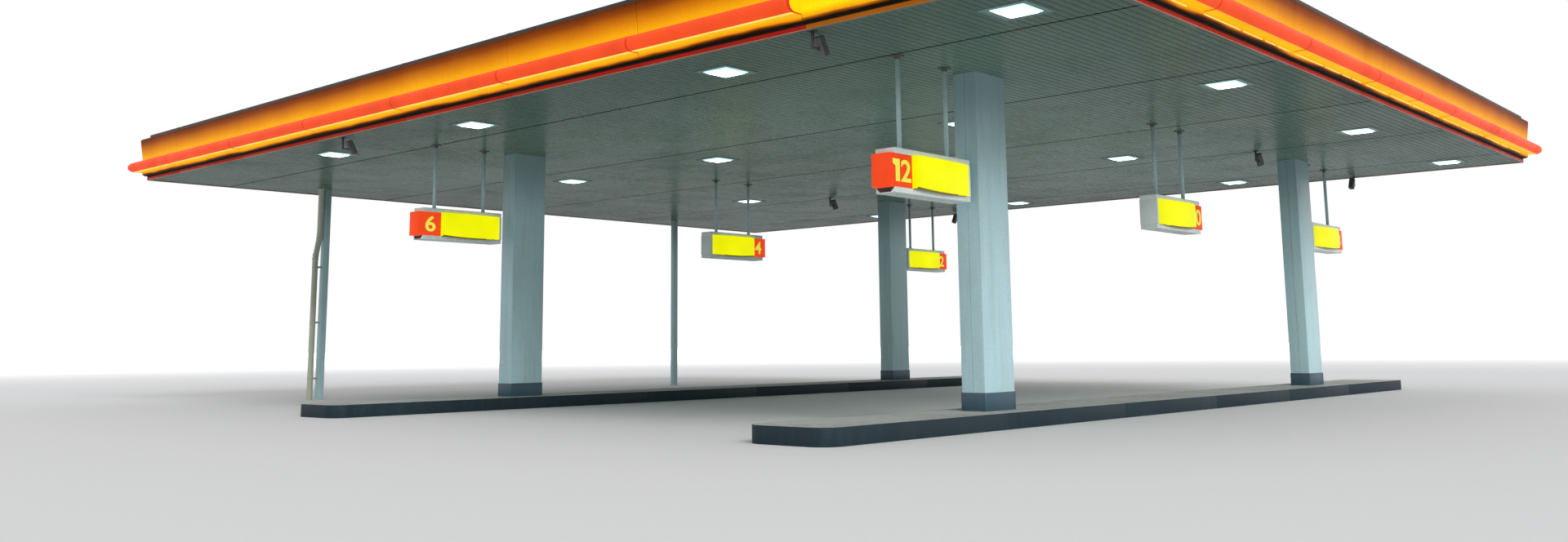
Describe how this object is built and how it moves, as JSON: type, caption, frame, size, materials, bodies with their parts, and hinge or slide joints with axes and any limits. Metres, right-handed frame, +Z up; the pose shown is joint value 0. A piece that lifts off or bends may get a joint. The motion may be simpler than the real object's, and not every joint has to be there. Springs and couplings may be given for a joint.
{
  "type": "filling station canopy",
  "caption": "Filling station canopy: flat lit roof with a rounded light bar on cased columns over two pump islands, with hanging number signs.",
  "frame": {"origin": "on the ground under the middle of the roof", "axes": "+X along the pump islands to the right seen from the front lane, +Y across the lanes to the rear, +Z up"},
  "size_m": [19.1, 21.9, 5.57],
  "materials": {
    "kerb_steel": "satin",
    "island_concrete": "matt, broomed",
    "white_sheet": "satin",
    "slate_band": "satin",
    "primed_steel": "matt",
    "galvanised_steel": "matt zinc",
    "ceiling_sheet": "gloss",
    "lamp_rim": "satin",
    "lamp_glass": "frosted, lit",
    "lamp_body": "satin",
    "face_acrylic": "translucent, lit from below",
    "bar_acrylic": "translucent, lit",
    "pan_sheet": "matt",
    "coping_sheet": "satin",
    "strip_acrylic": "lit",
    "trim_sheet": "satin",
    "roundel_acrylic": "translucent, lit",
    "sign_sheet": "satin",
    "yellow_acrylic": "translucent, lit",
    "red_acrylic": "translucent, lit",
    "hanger_paint": "satin",
    "camera_paint": "satin"
  },
  "bodies": {
    "root": {"island_front_kerb": "kerb_steel", "island_front_slab": "island_concrete", "island_middle_kerb": "kerb_steel", "island_middle_slab": "island_concrete", "column_front_left": "white_sheet", "column_front_right": "white_sheet", "column_middle_left": "white_sheet", "column_middle_right": "white_sheet", "column_bands": "slate_band", "column_steels": "primed_steel", "rear_post_left": "white_sheet", "rear_post_right": "white_sheet", "rear_post_steels": "primed_steel", "downpipe": "white_sheet", "ceiling_bay_1": "ceiling_sheet", "ceiling_bay_2": "ceiling_sheet", "ceiling_bay_3": "ceiling_sheet", "ceiling_bay_4": "ceiling_sheet", "ceiling_bay_5": "ceiling_sheet", "ceiling_bay_6": "ceiling_sheet", "lamp_rims": "lamp_rim", "lamp_glasses": "lamp_glass", "lamp_housings": "lamp_body", "beam_front": "galvanised_steel", "beam_middle": "galvanised_steel", "beam_rear": "galvanised_steel", "purlins": "galvanised_steel", "rim_channels": "galvanised_steel", "fascia_front": "face_acrylic", "fascia_right": "face_acrylic", "fascia_rear": "face_acrylic", "fascia_left": "face_acrylic", "light_bar_front": "bar_acrylic", "light_bar_right": "bar_acrylic", "light_bar_rear": "bar_acrylic", "light_bar_left": "bar_acrylic", "back_pans": "pan_sheet", "copings": "coping_sheet", "edge_strips": "strip_acrylic", "edge_trims": "trim_sheet", "blank_roundel": "roundel_acrylic", "sign_frames": "sign_sheet", "sign_lenses": "yellow_acrylic", "sign_number_ends": "red_acrylic", "sign_hangers": "hanger_paint", "camera_brackets": "camera_paint", "camera_housings": "camera_paint"}
  },
  "joints": []
}
